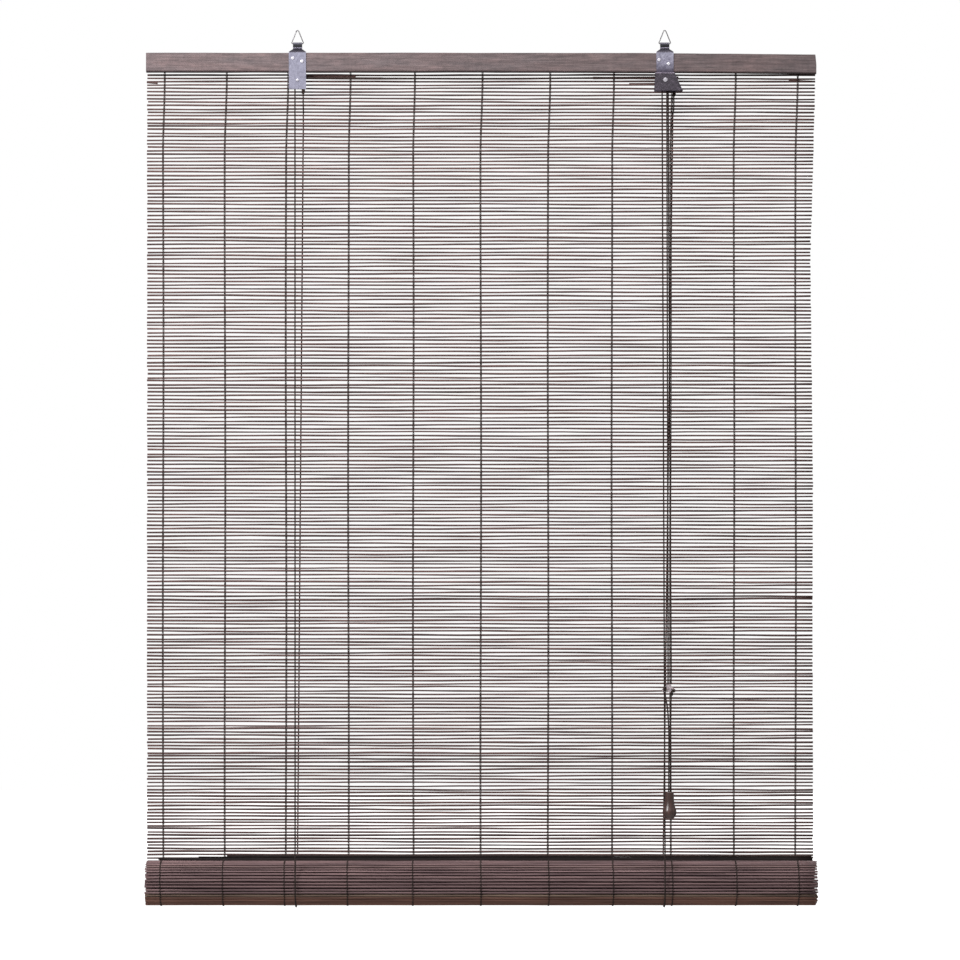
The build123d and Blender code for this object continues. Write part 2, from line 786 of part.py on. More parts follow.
# Below the connector the two tails come together and run side by side into the acorn.
acorn_bottom = acorn_top - acorn_height
acorn_knot_z = acorn_bottom + knot_room - acorn_knot_radius - acorn_knot_gap
tail_starts = {"a": connector_x + tail_out_a, "b": connector_x + tail_out_b}
for letter, side in (("a", -0.5), ("b", 0.5)):
    x = acorn_x + side * tail_gap
    cord(
        f"pull_tail_{letter}",
        [
            (tail_starts[letter], -pull_depth, connector_bottom),
            (x, -pull_depth, connector_bottom - tail_join),
            (x, -acorn_depth, acorn_top + cord_radius),
            (x, -acorn_depth, acorn_knot_z),
        ],
    )

with BuildPart() as connector_knot:
    with Locations((connector_x + tail_out_b, -pull_depth, connector_bottom - connector_knot_radius)):
        Sphere(connector_knot_radius)
save(connector_knot, "connector_knot")

with BuildPart() as acorn:
    with BuildSketch(Plane(origin=(acorn_x, -acorn_depth, acorn_top), x_dir=(1, 0, 0), z_dir=(0, -1, 0))):
        with BuildLine():
            rim_start = (acorn_top_radius - acorn_rim, 0)
            rim_end = (acorn_top_radius, -acorn_rim)
            waist = (acorn_waist_radius, -acorn_waist_drop)
            bulge = (acorn_radius, -acorn_bulge_drop)
            foot = (acorn_foot_radius, acorn_foot_rise - acorn_height)
            ceiling = knot_room - acorn_height
            Polyline((acorn_hole, ceiling), (acorn_hole, 0), rim_start)
            RadiusArc(rim_start, rim_end, acorn_rim)
            Line(rim_end, waist)
            flank = TangentArc(waist, bulge, tangent=Vector(*waist) - Vector(*rim_end))
            TangentArc(bulge, foot, tangent=flank % 1)
            Polyline(
                foot,
                (acorn_bottom_radius, -acorn_height),
                (knot_room_radius, -acorn_height),
                (knot_room_radius, ceiling),
                (acorn_hole, ceiling),
            )
        make_face()
    revolve(axis=Axis((acorn_x, -acorn_depth, 0), (0, 0, 1)))
save(acorn, "acorn")

with BuildPart() as acorn_knot:
    with Locations((acorn_x, -acorn_depth, acorn_knot_z)):
        Sphere(acorn_knot_radius)
save(acorn_knot, "acorn_knot")
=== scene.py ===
import json
from math import cos, pi, radians, sin, tan

import bpy
import numpy as np
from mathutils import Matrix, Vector


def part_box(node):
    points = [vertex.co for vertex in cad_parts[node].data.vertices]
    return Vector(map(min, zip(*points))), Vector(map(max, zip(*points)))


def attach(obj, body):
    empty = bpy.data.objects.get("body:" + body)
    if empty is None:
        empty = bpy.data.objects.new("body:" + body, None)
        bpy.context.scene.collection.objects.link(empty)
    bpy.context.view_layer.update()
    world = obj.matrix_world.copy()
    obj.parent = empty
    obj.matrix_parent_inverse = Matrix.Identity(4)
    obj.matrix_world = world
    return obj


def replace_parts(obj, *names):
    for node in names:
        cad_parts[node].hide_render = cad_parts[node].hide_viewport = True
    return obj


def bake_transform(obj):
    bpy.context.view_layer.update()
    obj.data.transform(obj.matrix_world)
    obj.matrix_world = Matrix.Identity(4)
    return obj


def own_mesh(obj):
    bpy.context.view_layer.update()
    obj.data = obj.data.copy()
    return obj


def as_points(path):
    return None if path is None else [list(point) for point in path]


# The looks of the bamboo roll up blind. Metres, in the CAD model's frame: X along the head rail,
# Y towards the wall, Z up, and the origin on the hanging line between the two rings.
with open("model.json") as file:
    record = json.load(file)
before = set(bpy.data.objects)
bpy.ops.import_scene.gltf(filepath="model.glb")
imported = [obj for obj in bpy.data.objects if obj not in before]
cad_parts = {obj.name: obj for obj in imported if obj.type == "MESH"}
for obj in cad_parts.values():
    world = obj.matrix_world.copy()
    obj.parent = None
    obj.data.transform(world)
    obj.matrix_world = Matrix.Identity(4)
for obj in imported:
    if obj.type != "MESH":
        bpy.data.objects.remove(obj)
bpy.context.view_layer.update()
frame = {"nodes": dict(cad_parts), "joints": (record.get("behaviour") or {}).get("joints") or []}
nodes = frame["nodes"]
joints = {joint["name"]: joint for joint in frame["joints"]}
rng = np.random.default_rng(33)

# ---------------------------------------------------------------- places read from the frame
rail_low, rail_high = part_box("head_rail")
mat_low, mat_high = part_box("mat_slats")
housing_low, housing_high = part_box("lock_housing")
mouth_z = housing_low.z
connector_low, connector_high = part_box("pull_connector")
acorn_low, acorn_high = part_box("acorn")
loop_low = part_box("left_lift_cord_loop")[0]

half_width = rail_high.x
roll_y, roll_z = joints["roll_spin"].get("pos_m", [0, 0, 0])[1:]
lift_range = joints["roll_lift"]["range_m"][1]
raised_z = roll_z + lift_range

mat_y = (mat_low.y + mat_high.y) / 2
slat_radius = (mat_high.y - mat_low.y) / 2
slat_pitch = 0.00421
slat_half_thickness = 0.00092
slat_half_width = 0.00119
first_slat_z = mat_high.z - slat_radius
last_slat_z = mat_low.z + slat_radius
slat_count = round((first_slat_z - last_slat_z) / slat_pitch) + 1
split_z = raised_z + 0.004       # above it the mat never moves, below it gathers as the roll comes up

thread_radius = 0.00060
thread_swing = 0.00115           # how far the warps wander to each side of their mean line
thread_names = sorted(name for name in nodes if name.startswith("warp_thread"))
thread_x = [(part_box(name)[0].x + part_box(name)[1].x) / 2 for name in thread_names]


# ---------------------------------------------------------------- meshes
def mesh_object(name, verts, faces, body=None, smooth=True):
    """A new mesh in the row frame, riding on a body."""
    mesh = bpy.data.meshes.new(name)
    mesh.from_pydata([tuple(v) for v in np.asarray(verts).tolist()], [], faces)
    mesh.validate()
    mesh.polygons.foreach_set("use_smooth", [smooth] * len(mesh.polygons))
    mesh.update()
    made = bpy.data.objects.new(name, mesh)
    bpy.context.scene.collection.objects.link(made)
    if body:
        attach(made, body)
    return made


def ring_faces(rings, sides, start=0):
    """Quads between successive rings of points, and a cap on each end."""
    quads = []
    for i in range(rings - 1):
        a, b = start + i * sides, start + (i + 1) * sides
        for j in range(sides):
            k = (j + 1) % sides
            quads.append((a + j, b + j, b + k, a + k))
    last = start + (rings - 1) * sides
    quads.append(tuple(range(start, start + sides)))
    quads.append(tuple(range(last + sides - 1, last - 1, -1)))
    return quads


def carried_frames(path):
    """The two directions across a path at each of its points, carried along it without a twist."""
    tangents = np.gradient(path, axis=0)
    tangents /= np.linalg.norm(tangents, axis=1)[:, None]
    helper = np.array([1.0, 0, 0]) if abs(tangents[0][0]) < 0.9 else np.array([0, 1.0, 0])
    normal = np.cross(tangents[0], helper)
    for tangent in tangents:
        normal = normal - tangent * normal.dot(tangent)
        normal /= np.linalg.norm(normal)
        yield normal, np.cross(tangent, normal)


def tube_rings(path, radius, sides):
    """Rings of points round a path."""
    path = np.asarray(path, float)
    angles = np.arange(sides) * 2 * pi / sides
    rings = []
    for point, (normal, side) in zip(path, carried_frames(path)):
        rings.append(point + radius * (np.cos(angles)[:, None] * normal + np.sin(angles)[:, None] * side))
    return np.concatenate(rings)


def tubes(name, paths, radius, sides, body=None):
    """Several tubes as one mesh."""
    verts, faces, count = [], [], 0
    for path in paths:
        verts.append(tube_rings(path, radius, sides))
        faces += ring_faces(len(path), sides, count)
        count += len(path) * sides
    return mesh_object(name, np.concatenate(verts), faces, body)


def mark(piece, name, values):
    """A number at each point of a mesh, for its material to read."""
    held = piece.data.attributes.new(name, "FLOAT", "POINT")
    held.data.foreach_set("value", values.astype(np.float32))


# ---------------------------------------------------------------- materials
def material(name, roughness, metallic=0.0):
    made = bpy.data.materials.new(name)
    made.use_nodes = True
    tree = made.node_tree
    shader = tree.nodes["Principled BSDF"]
    shader.inputs["Roughness"].default_value = roughness
    shader.inputs["Metallic"].default_value = metallic
    return made, tree, shader


def noise(tree, scale, size=1.0, detail=6.0, distortion=0.0):
    """Noise in the row frame, stretched by scale along each axis."""
    place = tree.nodes.new("ShaderNodeTexCoord")
    mapping = tree.nodes.new("ShaderNodeMapping")
    mapping.inputs["Scale"].default_value = scale
    made = tree.nodes.new("ShaderNodeTexNoise")
    made.inputs["Scale"].default_value = size
    made.inputs["Detail"].default_value = detail
    made.inputs["Distortion"].default_value = distortion
    tree.links.new(place.outputs["Object"], mapping.inputs["Vector"])
    tree.links.new(mapping.outputs["Vector"], made.inputs["Vector"])
    return made.outputs["Fac"]


def ramp(tree, value, stops):
    """Colours along a value, as (place, colour) stops."""
    made = tree.nodes.new("ShaderNodeValToRGB")
    for element, (place, colour) in zip(made.color_ramp.elements, (stops[0], stops[-1])):
        element.position, element.color = place, (*colour, 1)
    for place, colour in stops[1:-1]:
        made.color_ramp.elements.new(place).color = (*colour, 1)
    tree.links.new(value, made.inputs["Fac"])
    return made.outputs["Color"]


def times(tree, a, b):
    """One colour multiplied by another."""
    made = tree.nodes.new("ShaderNodeMix")
    made.data_type = "RGBA"
    made.blend_type = "MULTIPLY"
    made.inputs["Factor"].default_value = 1.0
    tree.links.new(a, made.inputs["A"])
    tree.links.new(b, made.inputs["B"])
    return made.outputs["Result"]


def bump(tree, shader, height, depth, strength=0.6):
    made = tree.nodes.new("ShaderNodeBump")
    made.inputs["Distance"].default_value = depth
    made.inputs["Strength"].default_value = strength
    tree.links.new(height, made.inputs["Height"])
    tree.links.new(made.outputs["Normal"], shader.inputs["Normal"])


def coordinate(tree, kind, axis):
    """One axis of a place in the row frame (Object), of the way that a face looks (Normal), or of
    a direction in the room (Generated)."""
    place = tree.nodes.new("ShaderNodeTexCoord")
    split = tree.nodes.new("ShaderNodeSeparateXYZ")
    tree.links.new(place.outputs[kind], split.inputs["Vector"])
    return split.outputs[axis]


def attribute(tree, name):
    made = tree.nodes.new("ShaderNodeAttribute")
    made.attribute_name = name
    return made.outputs["Fac"]


def between(tree, value, low, high, to=(0.0, 1.0)):
    """A value from between low and high, brought into another range."""
    made = tree.nodes.new("ShaderNodeMapRange")
    for socket, limit in (("From Min", low), ("From Max", high), ("To Min", to[0]), ("To Max", to[1])):
        made.inputs[socket].default_value = limit
    tree.links.new(value, made.inputs["Value"])
    return made.outputs["Result"]


def rail_material(name, edged=False):
    made, tree, shader = material(name, 0.7)
    grain = noise(tree, (30, 620, 620), detail=8.0, distortion=0.3)
    mottle = noise(tree, (80, 240, 240), detail=6.0, distortion=0.8)
    patches = noise(tree, (11, 60, 60), detail=3.0)
    ticks = noise(tree, (420, 60, 60), detail=2.0)
    fibres = [(0.28, (0.088, 0.064, 0.065)), (0.5, (0.134, 0.099, 0.099)), (0.74, (0.184, 0.141, 0.140))]
    blotches = [(0.32, (0.78, 0.78, 0.79)), (0.5, (0.98, 0.97, 0.98)), (0.7, (1.18, 1.13, 1.13))]
    fine = ramp(tree, grain, fibres)
    blotch = ramp(tree, mottle, blotches)
    tone = ramp(tree, patches, [(0.35, (0.90, 0.92, 0.94)), (0.65, (1.07, 1.01, 1.0))])
    nicks = ramp(tree, ticks, [(0.3, (0.90, 0.90, 0.90)), (0.55, (1.0, 1.0, 1.0))])
    # painted shade: the faces that look down are painted darker
    underside_shade_mask = between(tree, coordinate(tree, "Normal", "Z"), -0.5, -0.1)
    underside = ramp(tree, underside_shade_mask, [(0.0, (0.20, 0.14, 0.14)), (1.0, (1.0, 1.0, 1.0))])
    # painted light: the wood is painted lighter towards its left end and darker towards its right, as the
    # key light falls from the left
    along = between(tree, coordinate(tree, "Object", "X"), -0.4, 0.4)
    painted_side_light = [(0.0, (1.12, 1.12, 1.13)), (0.5, (1.0, 1.0, 1.0)), (1.0, (0.80, 0.79, 0.79))]
    colour = times(tree, times(tree, fine, blotch), times(tree, tone, nicks))
    colour = times(tree, times(tree, colour, underside), ramp(tree, along, painted_side_light))
    if edged:
        # painted shade darkens the lath's lower edge, and its upper edge is a little darker
        edge = [
            (0.0, (0.24, 0.16, 0.17)),
            (0.06, (0.30, 0.21, 0.22)),
            (0.10, (1, 1, 1)),
            (0.965, (1, 1, 1)),
            (1.0, (0.72, 0.68, 0.68)),
        ]
        colour = times(tree, colour, ramp(tree, attribute(tree, "rise"), edge))
    tree.links.new(colour, shader.inputs["Base Color"])
    bump(tree, shader, grain, 0.0005)
    return made


def slat_material():
    made, tree, shader = material("stained_cane", 0.6)
    shader.inputs["Specular IOR Level"].default_value = 0.2
    own = ramp(
        tree,
        attribute(tree, "cane"),
        [
            # tint 0 is near black: painted shade, used by the crowded slats where the mat turns into the
            # roll
            (0.0, (0.012, 0.007, 0.007)),
            (0.20, (0.073, 0.046, 0.043)),
            (0.55, (0.152, 0.094, 0.087)),
            (0.66, (0.157, 0.101, 0.102)),
            (0.86, (0.228, 0.156, 0.160)),
            # tints from 0.93 to 1 are painted light: the redder tint of the roll's underside
            (0.93, (0.182, 0.132, 0.098)),
            (1.0, (0.240, 0.116, 0.088)),
        ],
    )
    fibre = noise(tree, (14, 900, 900), detail=5.0)
    cloud = noise(tree, (9, 160, 160), detail=3.0)
    streak = ramp(tree, fibre, [(0.3, (0.62, 0.60, 0.60)), (0.7, (1.25, 1.22, 1.2))])
    shade = ramp(tree, cloud, [(0.32, (0.62, 0.60, 0.62)), (0.6, (1.08, 1.06, 1.06))])
    colour = times(tree, own, times(tree, streak, shade))
    tree.links.new(colour, shader.inputs["Base Color"])
    bump(tree, shader, fibre, 0.0002)
    return made


def thread_material(name, dark, light):
    """Twisted cotton."""
    made, tree, shader = material(name, 0.9)
    fibre = noise(tree, (1500, 1500, 1500), detail=3.0)
    tree.links.new(ramp(tree, fibre, [(0.3, dark), (0.7, light)]), shader.inputs["Base Color"])
    shader.inputs["Specular IOR Level"].default_value = 0.1
    shader.inputs["Sheen Weight"].default_value = 0.06
    bump(tree, shader, fibre, 0.00015)
    return made


def steel_material(name, dark, light, roughness, spangle=220.0, metallic=0.75, bands=None):
    """Steel with the pale and dark patches of a zinc coat; bands are (height, tint) stops of painted shade,
    painted reflection and painted highlight.
    """
    made, tree, shader = material(name, roughness, metallic)
    patches = noise(tree, (1, 1, 1), spangle, detail=3.0, distortion=1.2)
    fine = noise(tree, (1, 1, 1), spangle * 9, detail=2.0)
    colour = ramp(tree, patches, [(0.32, dark), (0.68, light)])
    dust = ramp(tree, fine, [(0.35, (0.84, 0.84, 0.86)), (0.6, (1.0, 1.0, 1.0))])
    colour = times(tree, colour, dust)
    if bands:
        low, high = bands[0][0], bands[-1][0]
        stops = [((z - low) / (high - low), tint) for z, tint in bands]
        share = between(tree, coordinate(tree, "Object", "Z"), low, high)
        colour = times(tree, colour, ramp(tree, share, stops))
    tree.links.new(colour, shader.inputs["Base Color"])
    bump(tree, shader, fine, 0.00008, 0.4)
    return made


def housing_material(top):
    """Speckled paint, with a painted highlight along the box's top edge."""
    made, tree, shader = material("speckled_housing", 0.5, 0.3)
    specks = noise(tree, (1, 1, 1), 1500.0, detail=2.0)
    cloud = noise(tree, (1, 1, 1), 240.0, detail=4.0)
    dark = ramp(tree, cloud, [(0.3, (0.036, 0.029, 0.040)), (0.7, (0.080, 0.066, 0.086))])
    pale = ramp(tree, specks, [(0.42, (0.50, 0.50, 0.50)), (0.58, (1.0, 1.0, 1.0)), (0.70, (2.4, 2.3, 2.4))])
    # painted highlight: a bright band along the box's top edge
    painted_highlight_band = between(tree, coordinate(tree, "Object", "Z"), top - 0.0018, top - 0.0008)
    edge = ramp(tree, painted_highlight_band, [(0.0, (1.0, 1.0, 1.0)), (1.0, (3.0, 3.0, 3.0))])
    colour = times(tree, times(tree, dark, pale), edge)
    tree.links.new(colour, shader.inputs["Base Color"])
    bump(tree, shader, specks, 0.0001, 0.5)
    return made


def plastic_material():
    made, tree, shader = material("clear_plastic", 0.3)
    cloud = noise(tree, (1, 1, 1), 300.0, detail=3.0)
    colour = ramp(tree, cloud, [(0.35, (0.42, 0.36, 0.38)), (0.65, (0.66, 0.58, 0.60))])
    tree.links.new(colour, shader.inputs["Base Color"])
    shader.inputs["Transmission Weight"].default_value = 0.3
    shader.inputs["Subsurface Weight"].default_value = 0.3
    shader.inputs["Subsurface Radius"].default_value = (0.004, 0.003, 0.002)
    bump(tree, shader, cloud, 0.0001, 0.3)
    return made


def acorn_material():
    made, tree, shader = material("varnished_wood", 0.32)
    grain = noise(tree, (420, 420, 45), detail=7.0, distortion=0.6)
    stain = [(0.3, (0.030, 0.014, 0.012)), (0.55, (0.062, 0.030, 0.025)), (0.8, (0.115, 0.056, 0.044))]
    tree.links.new(ramp(tree, grain, stain), shader.inputs["Base Color"])
    shader.inputs["Coat Weight"].default_value = 0.5
    shader.inputs["Coat Roughness"].default_value = 0.32
    bump(tree, shader, grain, 0.0002, 0.4)
    return made


# the brackets' steel is painted darker above the rail, where it is bent: a painted dark reflection; and a
# painted highlight runs along the fold's cut edge
painted_bend_reflection_bands = [
    (-0.0262, (1.0, 1.0, 1.0)),
    (-0.0257, (0.16, 0.14, 0.16)),
    (-0.0228, (0.12, 0.11, 0.12)),
    (-0.0207, (0.10, 0.09, 0.10)),
    (-0.0204, (1.25, 1.2, 1.2)),
    (-0.0199, (1.25, 1.2, 1.2)),
    (-0.0196, (0.04, 0.04, 0.04)),
    (-0.0166, (0.05, 0.05, 0.05)),
    (-0.0150, (0.34, 0.33, 0.33)),
]
# painted reflection of the housing's shelf: the right bracket's plate is painted darker towards its bottom
painted_shelf_reflection_bands = [
    (-0.0506, (0.22, 0.18, 0.21)),
    (-0.0470, (0.30, 0.27, 0.30)),
    (-0.0435, (0.62, 0.60, 0.62)),
    (-0.0385, (0.86, 0.84, 0.86)),
]
wood_rail = rail_material("weathered_rail", edged=True)
wood_bar = rail_material("weathered_bar")
cane = slat_material()
warp_cotton = thread_material("warp_cotton", (0.018, 0.012, 0.011), (0.055, 0.038, 0.034))
cord_cotton = thread_material("cord_cotton", (0.014, 0.009, 0.008), (0.052, 0.037, 0.033))
zinc = steel_material(
    "zinc_sheet", (0.22, 0.215, 0.28), (0.32, 0.315, 0.40), 0.45, metallic=0.4, bands=painted_bend_reflection_bands
)
flared_zinc = steel_material(
    "zinc_sheet_flared",
    (0.22, 0.21, 0.28),
    (0.40, 0.39, 0.48),
    0.42,
    metallic=0.4,
    bands=painted_shelf_reflection_bands + painted_bend_reflection_bands,
)
cheek_zinc = steel_material("zinc_sheet_cheek", (0.20, 0.19, 0.24), (0.34, 0.33, 0.40), 0.45, metallic=0.6)
bright_steel = steel_material("bright_steel", (0.58, 0.56, 0.62), (0.84, 0.82, 0.88), 0.32, metallic=0.35)
rivet_steel = steel_material("rivet_steel", (0.38, 0.36, 0.40), (0.56, 0.53, 0.58), 0.35, metallic=0.4)
wheel_steel = steel_material("wheel_steel", (0.30, 0.29, 0.33), (0.50, 0.49, 0.54), 0.35)
wire_steel = steel_material("wire_steel", (0.16, 0.15, 0.155), (0.28, 0.27, 0.275), 0.35, metallic=0.8)
housing_paint = housing_material(housing_high.z)
plastic = plastic_material()
varnish = acorn_material()


def give(name, made):
    """A finish for a carried CAD node."""
    piece = nodes[name]
    piece.data.materials.clear()
    piece.data.materials.append(made)


give("left_bracket", zinc)
give("left_pulley_cheek", cheek_zinc)
give("right_bracket", flared_zinc)
give("lock_housing", housing_paint)
for name in ("left_hanging_ring", "right_hanging_ring", "mat_staples"):
    give(name, wire_steel)
for name in (
    "left_bracket_nails",
    "right_bracket_nails",
    "left_pulley_pin",
    "lock_pin",
    "cheek_screw",
):
    give(name, bright_steel)
give("guide_roller_pin", rivet_steel)
for name in ("left_pulley", "guide_roller", "lock_roller"):
    give(name, wheel_steel)
give("bottom_bar", wood_bar)
give("pull_connector", plastic)
give("acorn", varnish)


def finish_piece(piece, made, slot, *replaced):
    piece.data.materials.append(made)
    if replaced:
        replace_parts(piece, *replaced)
    return piece


# ---------------------------------------------------------------- slats
def wave(x, size, longest):
    """A smooth random line along a slat."""
    total = np.zeros_like(x)
    for octave in range(3):
        length = longest / 2.3**octave
        total += size / 1.8**octave * np.sin(2 * pi * (x / length + rng.random()))
    return total


def slat_mesh(name, rows, body, sides=6, stations=33):
    """Split canes along X. Each row is (middle, outward direction, ends, half thickness, half width,
    waviness, tilt, tint), in the Y-Z plane; a cane's width runs across its outward direction."""
    verts, faces, tints = [], [], []
    for number, (middle, out, ends, thick, wide, waviness, tilt, tint) in enumerate(rows):
        x = np.linspace(*ends, stations)
        middle, out = np.array(middle), np.array(out)
        along = np.array([-out[1], out[0]])
        slope = tilt * np.linspace(-0.5, 0.5, stations)[:, None] * np.array([0, 1])
        shift = wave(x, waviness, 0.42)[:, None] * along
        shift = shift + wave(x, waviness * 0.35, 0.3)[:, None] * out + slope
        size = 1 + wave(x, 0.08, 0.17)
        angles = 0.3 * rng.random() + np.arange(sides) * 2 * pi / sides
        uneven = 1 + rng.normal(0, 0.07, sides)
        ring = (
            np.cos(angles)[:, None] * out * thick + np.sin(angles)[:, None] * along * wide
        ) * uneven[:, None]
        places = (middle + shift)[:, None, :] + size[:, None, None] * ring[None]
        column = np.repeat(x, sides)[:, None]
        verts.append(np.concatenate([column, places.reshape(-1, 2)], axis=1))
        faces += ring_faces(stations, sides, number * stations * sides)
        tints.append(np.full(stations * sides, tint))
    made = mesh_object(name, np.concatenate(verts), faces, body)
    mark(made, "cane", np.concatenate(tints))
    return finish_piece(made, cane, "slat_bamboo")


# how far apart the slats are woven, from the top of the mat to its bottom, beside their mean
spacing = np.interp(
    (np.arange(slat_count - 1) + 0.5) / (slat_count - 1),
    [0, 0.06, 0.2, 0.38, 0.5, 0.72, 0.88, 1],
    [0.94, 0.98, 1.045, 1.055, 1.02, 1.0, 0.955, 0.90],
)
slat_heights = first_slat_z - np.concatenate([[0], np.cumsum(spacing)]) * (
    (first_slat_z - last_slat_z) / spacing.sum()
)


def right_edge(z):
    """How far the mat's right edge stands in from the rail's end, on the way down."""
    heights = [-1.0, -0.70, -0.5376, -0.27, -0.15, -0.09, -0.06]
    inset = [0.0024, 0.0034, 0.0028, 0.0058, 0.0022, 0.0008, 0.0]
    return np.interp(z, heights, inset)


facing = (-1.0, 0.0)             # the mat's outward direction, towards the room
mat_rows = []
for z in slat_heights:
    wide = slat_half_width * (1 + rng.normal(0, 0.06))
    mat_rows.append(
        (
            (mat_y, z + rng.normal(0, 0.00024)),
            facing,
            (
                -half_width + abs(rng.normal(0, 0.0005)),
                half_width - right_edge(z) - abs(rng.normal(0, 0.0005)),
            ),
            slat_half_thickness,
            wide,
            0.00020 + 0.00018 * rng.random(),
            rng.normal(0, 0.0005),
            0.26 + 0.30 * rng.beta(2.0, 2.0),
        )
    )
upper_rows = [row for row in mat_rows if row[0][1] > split_z]
lower_rows = [row for row in mat_rows if row[0][1] <= split_z]
break_at = len(upper_rows)

# slivers: short ends of cane that were woven in beside a slat
slivers = [
    ((mat_y, -0.0622), facing, (0.177, 0.234), 0.0007, 0.0012, 0.0001, 0.0, 0.42),
    ((mat_y, -0.0610), facing, (-half_width, -0.387), 0.0007, 0.0011, 0.0001, -0.001, 0.42),
    ((mat_y, -0.0588), facing, (0.368, half_width - 0.001), 0.0006, 0.0009, 0.0001, -0.001, 0.42),
    ((mat_y, -0.0541), facing, (-0.220, -0.150), 0.0008, 0.0020, 0.0001, -0.0004, 0.45),
    ((mat_y, -0.0550), facing, (-0.220, -0.118), 0.0007, 0.0010, 0.0001, -0.0006, 0.45),
    ((mat_y, -0.0553), facing, (0.134, 0.236), 0.0008, 0.0019, 0.0001, 0.0, 0.45),
]
upper_rows += [row for row in slivers if row[0][1] > split_z]
lower_rows += [row for row in slivers if row[0][1] <= split_z]
upper_slats = slat_mesh("slats_upper", upper_rows, "head")
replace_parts(upper_slats, "mat_slats")
lower_slats = slat_mesh("slats_lower", lower_rows, "head")
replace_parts(lower_slats, "mat_slats")


# ---------------------------------------------------------------- the roll's spiral
roll_radius = mat_y - roll_y
roll_growth = 0.0028             # in one full turn
roll_half_turns = 10
roll_pitch = 0.00372
tail_radius = 0.007
tail_length = 0.0125


def spiral_point(s):
    """The place, and the outward direction, after s metres of mat along the roll."""
    step = roll_growth / 2
    radius = roll_radius - step / 2
    for k in range(roll_half_turns):
        if s <= pi * radius:
            angle = -pi * (k % 2) - s / radius
            centre = step / 2 * (-1) ** k
            out = np.array([cos(angle), sin(angle)])
            return np.array([centre, 0]) + radius * out, out
        s -= pi * radius
        radius -= step
    tail_y = roll_radius - step * roll_half_turns - tail_radius
    if s <= tail_radius * pi / 2:
        angle = -s / tail_radius
        out = np.array([cos(angle), sin(angle)])
        return np.array([tail_y, 0]) + tail_radius * out, out
    s -= tail_radius * pi / 2
    return np.array([tail_y - s, -tail_radius]), np.array([0.0, -1.0])


roll_length = sum(pi * (roll_radius - roll_growth / 4 - roll_growth / 2 * k) for k in range(roll_half_turns))
roll_length += tail_radius * pi / 2 + tail_length
roll_slats = int(roll_length / roll_pitch)
roll_centres, roll_outs, roll_rows = [], [], []
for j in range(roll_slats):
    s = (j + 0.5) * roll_pitch
    place, out = spiral_point(s + rng.normal(0, 0.00012))
    # painted light: the slats on the roll's underside are given a redder, lighter tint, to make up for the
    # dim light from below
    under = min(1.0, max(0.0, (-out[1] - 0.33) / 0.3))      # 1 on the roll's underside
    front = 0.66 + 0.22 * rng.beta(2, 2)
    reddish = 0.07 * max(0.0, under * 3 - 2) * (0.85 + 0.15 * rng.random())
    tint = front + (0.925 - front) * min(1.0, under * 3) + reddish
    middle = place + [roll_y, roll_z]
    roll_centres.append(middle)
    roll_outs.append(out)
    roll_rows.append(
        (
            middle,
            out,
            (
                -half_width + 0.0026 - 0.0010 * sin(s * 26) + 0.0011 * rng.random() * (-1) ** j,
                half_width - 0.0035 + 0.0022 * sin(s * 9.0) + 0.0010 * rng.random() * (-1) ** j,
            ),
            0.00095,
            (0.00112 + 0.00062 * under) * (1 + rng.normal(0, 0.06)),
            0.00011,
            0.0,
            tint,
        )
    )
roll_centres, roll_outs = np.array(roll_centres), np.array(roll_outs)
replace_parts(slat_mesh("slats_rolled", roll_rows, "roll", sides=8), "rolled_mat")

# a few slats lie close together where the mat turns into the roll; their near-black tint is painted shade,
# for the gap between the mat and the roll
crowded_rows = [
    ((mat_y - step_y, roll_z + up), facing, (left, half_width - short), thick, wide, 0.0001, tilt, tint)
    for step_y, up, left, short, thick, wide, tilt, tint in (
        (0.0046, 0.0242, -0.385, 0.004, 0.0009, 0.0013, -0.0004, 0.0),
        (0.0040, 0.0259, -0.386, 0.004, 0.0008, 0.0012, -0.0004, 0.0),
        (0.0034, 0.0277, -0.338, 0.004, 0.0008, 0.0009, -0.0010, 0.0),
        (0.0032, 0.0292, -0.304, 0.005, 0.0008, 0.0010, -0.0006, 0.05),
    )
]
slat_mesh("slats_crowded", crowded_rows, "lift")


# ---------------------------------------------------------------- warp threads
def warp_pair(x, centres, outs, start_side):
    """The two threads of a warp: they pass on either side of each slat and cross between slats."""
    reach = slat_half_thickness + thread_radius * 0.9
    steps = 4
    count = (len(centres) - 1) * steps + 1
    t = np.linspace(0, len(centres) - 1, count)
    index = np.arange(len(centres))
    centre = np.stack([np.interp(t, index, centres[:, i]) for i in range(2)], axis=1)
    out = np.stack([np.interp(t, index, outs[:, i]) for i in range(2)], axis=1)
    out /= np.linalg.norm(out, axis=1)[:, None]
    swing = np.cos(pi * t + start_side) * reach
    side = np.sin(pi * t + start_side) * thread_radius * 1.2
    paths = []
    for sign in (1, -1):
        flat = centre + out * (sign * swing)[:, None]
        paths.append(np.stack([x + sign * side, flat[:, 0], flat[:, 1]], axis=1))
    return paths


def hang_line(x, z):
    """A warp's slow sideways wander: the mat swings a little to the left below the rail."""
    swing = np.clip((-0.055 - z) / 0.095, 0, 1)
    return x + thread_swing * (1 - 2 * swing * swing * (3 - 2 * swing)) + 0.0004 * np.sin(z * 9 + x * 20)


